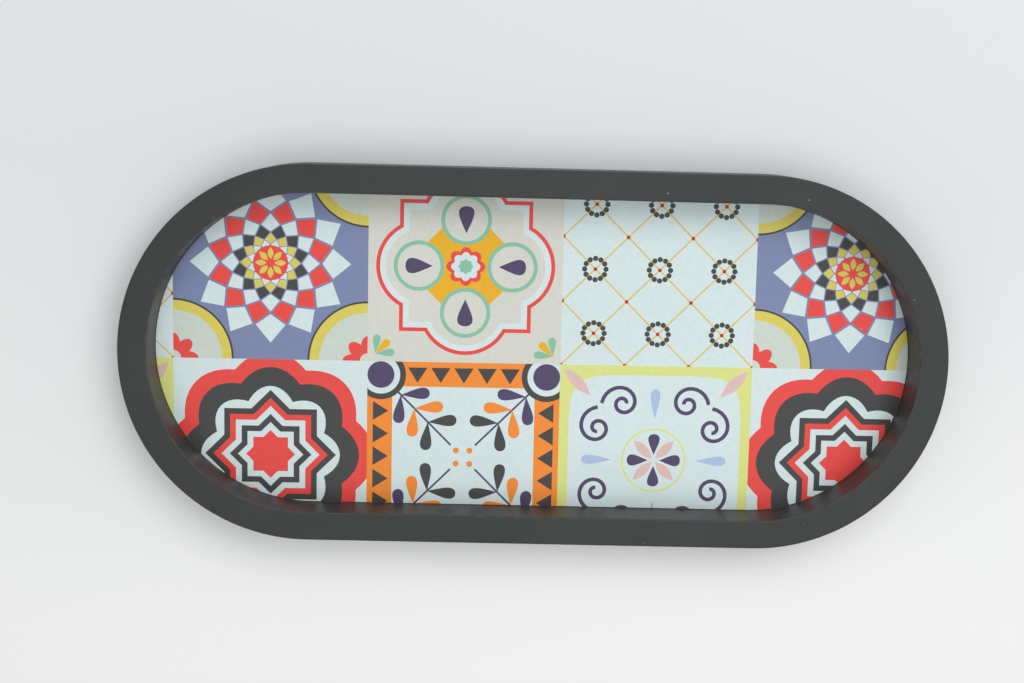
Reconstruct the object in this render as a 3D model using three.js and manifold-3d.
// An obround serving tray: a routed wooden rim, a hardboard base panel held in a rebate under the rim
// by a row of panel pins, a printed inlay lying on the panel inside the rim, and four non-slip feet.
//
// Millimetres, +Z up. X runs along the tray, Y across it, and the origin is the centre of the plane
// that the feet stand on.

import * as THREE from "three";
import { mergeVertices } from "three/addons/utils/BufferGeometryUtils.js";
import Module from "manifold-3d";

// Driving dimensions: the rim.
const TRAY_LENGTH = 400;
const TRAY_WIDTH = 182.2;
const RIM_FACE_WIDTH = 13.8;
const RIM_HEIGHT = 25;
const RIM_EDGE_RADIUS = 0.8;

// Driving dimensions: the base panel, the inlay and the rebate that the panel sits in.
const PANEL_THICKNESS = 3;
const INLAY_THICKNESS = 0.3;
const REBATE_LEDGE_WIDTH = 7;
const FITTING_GAP = 0.3;

// Driving dimensions: feet and pins.
const FOOT_RADIUS = 6;
const FOOT_HEIGHT = 2;
const FOOT_EDGE_RADIUS = 0.6;
const FOOT_OFFSET_X = 135;
const FOOT_OFFSET_Y = 50;
const PIN_COUNT = 14;
const PIN_LENGTH = 14;
const PIN_SHANK_RADIUS = 0.7;
const PIN_HEAD_RADIUS = 1.5;
const PIN_HEAD_DEPTH = 0.9;
const PIN_POINT_LENGTH = 1.6;

// How finely round shapes are faceted.
const END_ARC_DIVISIONS = 30; // an arc gets two facets for each division
const FOOT_FACETS = 32;
const PIN_FACETS = 12;
const EDGE_FACETS = 3;

// Levels, counted up from the plane that the feet stand on.
const UNDERSIDE_Z = FOOT_HEIGHT;
const PANEL_TOP_Z = UNDERSIDE_Z + PANEL_THICKNESS;
const CUTTER_OVERRUN = 1; // how far a cutting tool runs past the surface that it opens

const wasm = await Module();
wasm.setup();

// A closed three.js geometry as a manifold-3d solid.
function toSolid(geometry) {
  const bare = geometry.clone();
  bare.deleteAttribute("normal");
  bare.deleteAttribute("uv");
  const merged = mergeVertices(bare, 1e-4);
  return new wasm.Manifold(
    new wasm.Mesh({
      numProp: 3,
      vertProperties: new Float32Array(merged.attributes.position.array),
      triVerts: new Uint32Array(merged.index.array),
    }),
  );
}

// A manifold-3d solid as a three.js geometry.
function toGeometry(solid) {
  const mesh = solid.getMesh();
  const geometry = new THREE.BufferGeometry();
  geometry.setAttribute("position", new THREE.BufferAttribute(mesh.vertProperties, mesh.numProp));
  geometry.setIndex(new THREE.BufferAttribute(mesh.triVerts, 1));
  geometry.computeVertexNormals();
  return geometry;
}

// Traces an obround, anticlockwise from the middle of its -Y side, on a Shape or a Path.
function traceObround(path, length, width) {
  const radius = width / 2;
  const centreX = length / 2 - radius;
  path.moveTo(0, -radius);
  path.lineTo(centreX, -radius);
  path.absarc(centreX, 0, radius, -Math.PI / 2, Math.PI / 2, false);
  path.lineTo(-centreX, radius);
  path.absarc(-centreX, 0, radius, Math.PI / 2, (3 * Math.PI) / 2, false);
  path.lineTo(0, -radius);
  return path;
}

// The outline that lies `inset` inside the tray's outer edge.
function obroundInset(inset) {
  return traceObround(new THREE.Shape(), TRAY_LENGTH - 2 * inset, TRAY_WIDTH - 2 * inset);
}

// A flat plate with the given outline, standing on level z.
function plate(outline, thickness, z) {
  const options = { depth: thickness, bevelEnabled: false, curveSegments: END_ARC_DIVISIONS };
  return new THREE.ExtrudeGeometry(outline, options).translate(0, 0, z);
}

// A turned piece from a profile of [radius, height] points that starts and ends on its axis.
function turned(profile, facets) {
  const points = profile.map(([radius, height]) => new THREE.Vector2(radius, height));
  return new THREE.LatheGeometry(points, facets).rotateX(Math.PI / 2);
}

// Where the pins go: evenly round the middle of the rebate's ledge.
function pinPlaces() {
  const ledgeMiddle = RIM_FACE_WIDTH - REBATE_LEDGE_WIDTH / 2;
  return obroundInset(ledgeMiddle).getSpacedPoints(PIN_COUNT).slice(0, PIN_COUNT);
}

// The profile of a pin, head down, or of the hole for one when it is grown by a gap.
function pinProfile(gap) {
  const headRadius = PIN_HEAD_RADIUS + gap;
  const shankRadius = PIN_SHANK_RADIUS + gap;
  return [
    [0, 0],
    [headRadius, 0],
    [shankRadius, PIN_HEAD_DEPTH],
    [shankRadius, PIN_LENGTH - PIN_POINT_LENGTH + gap],
    [0, PIN_LENGTH + gap],
  ];
}

// The tools that cut the pin holes, each with a short run-out below the underside.
function pinHoleCutters() {
  const [, head, ...upwards] = pinProfile(FITTING_GAP);
  const [headRadius] = head;
  const profile = [[0, -CUTTER_OVERRUN], [headRadius, -CUTTER_OVERRUN], head, ...upwards];
  const cutter = toSolid(turned(profile, PIN_FACETS));
  return pinPlaces().map(({ x, y }) => cutter.translate([x, y, UNDERSIDE_Z]));
}

function named(name, geometry, material) {
  const mesh = new THREE.Mesh(geometry, material);
  mesh.name = name;
  return mesh;
}

const paintedWood = new THREE.MeshStandardMaterial({ color: 0x47494b, roughness: 0.62, metalness: 0 });
const hardboard = new THREE.MeshStandardMaterial({ color: 0x7d5f43, roughness: 0.8, metalness: 0 });
const printedLaminate = new THREE.MeshStandardMaterial({ color: 0xc9c2b4, roughness: 0.4, metalness: 0 });
const blackRubber = new THREE.MeshStandardMaterial({ color: 0x1d1e20, roughness: 0.75, metalness: 0 });
const brightSteel = new THREE.MeshStandardMaterial({ color: 0x9a9b9c, roughness: 0.35, metalness: 1 });

// The rim: a ring with eased edges, rebated underneath for the panel and drilled for the pins.
function makeRim() {
  const outline = obroundInset(0);
  const opening = traceObround(
    new THREE.Path(),
    TRAY_LENGTH - 2 * RIM_FACE_WIDTH,
    TRAY_WIDTH - 2 * RIM_FACE_WIDTH,
  );
  outline.holes.push(opening);
  const ring = new THREE.ExtrudeGeometry(outline, {
    depth: RIM_HEIGHT - 2 * RIM_EDGE_RADIUS,
    bevelThickness: RIM_EDGE_RADIUS,
    bevelSize: RIM_EDGE_RADIUS,
    bevelOffset: -RIM_EDGE_RADIUS,
    bevelSegments: EDGE_FACETS,
    curveSegments: END_ARC_DIVISIONS,
  }).translate(0, 0, UNDERSIDE_Z + RIM_EDGE_RADIUS);
  const rebateOutline = obroundInset(RIM_FACE_WIDTH - REBATE_LEDGE_WIDTH);
  const rebate = plate(rebateOutline, PANEL_THICKNESS + CUTTER_OVERRUN, UNDERSIDE_Z - CUTTER_OVERRUN);
  let solid = toSolid(ring).subtract(toSolid(rebate));
  for (const cutter of pinHoleCutters()) {
    solid = solid.subtract(cutter);
  }
  return named("rim_ring", toGeometry(solid), paintedWood);
}

// The panel: fills the rebate, and is drilled and countersunk for the pins.
function makePanel() {
  const outline = obroundInset(RIM_FACE_WIDTH - REBATE_LEDGE_WIDTH + FITTING_GAP);
  let solid = toSolid(plate(outline, PANEL_THICKNESS, UNDERSIDE_Z));
  for (const cutter of pinHoleCutters()) {
    solid = solid.subtract(cutter);
  }
  return named("base_panel", toGeometry(solid), hardboard);
}

// The inlay: the printed sheet that lies on the panel and fills the floor of the tray.
function makeInlay() {
  const outline = obroundInset(RIM_FACE_WIDTH + FITTING_GAP);
  return named("printed_inlay", plate(outline, INLAY_THICKNESS, PANEL_TOP_Z), printedLaminate);
}

// A foot: a stuck-on disc with a rounded lower edge.
function makeFoot(name, x, y) {
  const profile = [[0, 0]];
  for (let i = 0; i <= EDGE_FACETS; i += 1) {
    const angle = (i / EDGE_FACETS) * (Math.PI / 2);
    const radius = FOOT_RADIUS - FOOT_EDGE_RADIUS * (1 - Math.sin(angle));
    profile.push([radius, FOOT_EDGE_RADIUS * (1 - Math.cos(angle))]);
  }
  profile.push([FOOT_RADIUS, FOOT_HEIGHT], [0, FOOT_HEIGHT]);
  const foot = named(name, turned(profile, FOOT_FACETS), blackRubber);
  foot.position.set(x, y, 0);
  return foot;
}

// A pin: countersunk head flush with the underside, point up in the rim.
function makePin(number, x, y) {
  const name = "panel_pin_" + String(number).padStart(2, "0");
  const pin = named(name, turned(pinProfile(0), PIN_FACETS), brightSteel);
  pin.position.set(x, y, UNDERSIDE_Z);
  return pin;
}

const tray = new THREE.Group();
tray.name = "serving_tray";
tray.add(makeRim(), makePanel(), makeInlay());
for (const [side, signX] of [["left", -1], ["right", 1]]) {
  for (const [end, signY] of [["front", -1], ["back", 1]]) {
    tray.add(makeFoot("foot_" + end + "_" + side, signX * FOOT_OFFSET_X, signY * FOOT_OFFSET_Y));
  }
}
pinPlaces().forEach(({ x, y }, index) => tray.add(makePin(index + 1, x, y)));

export default tray;
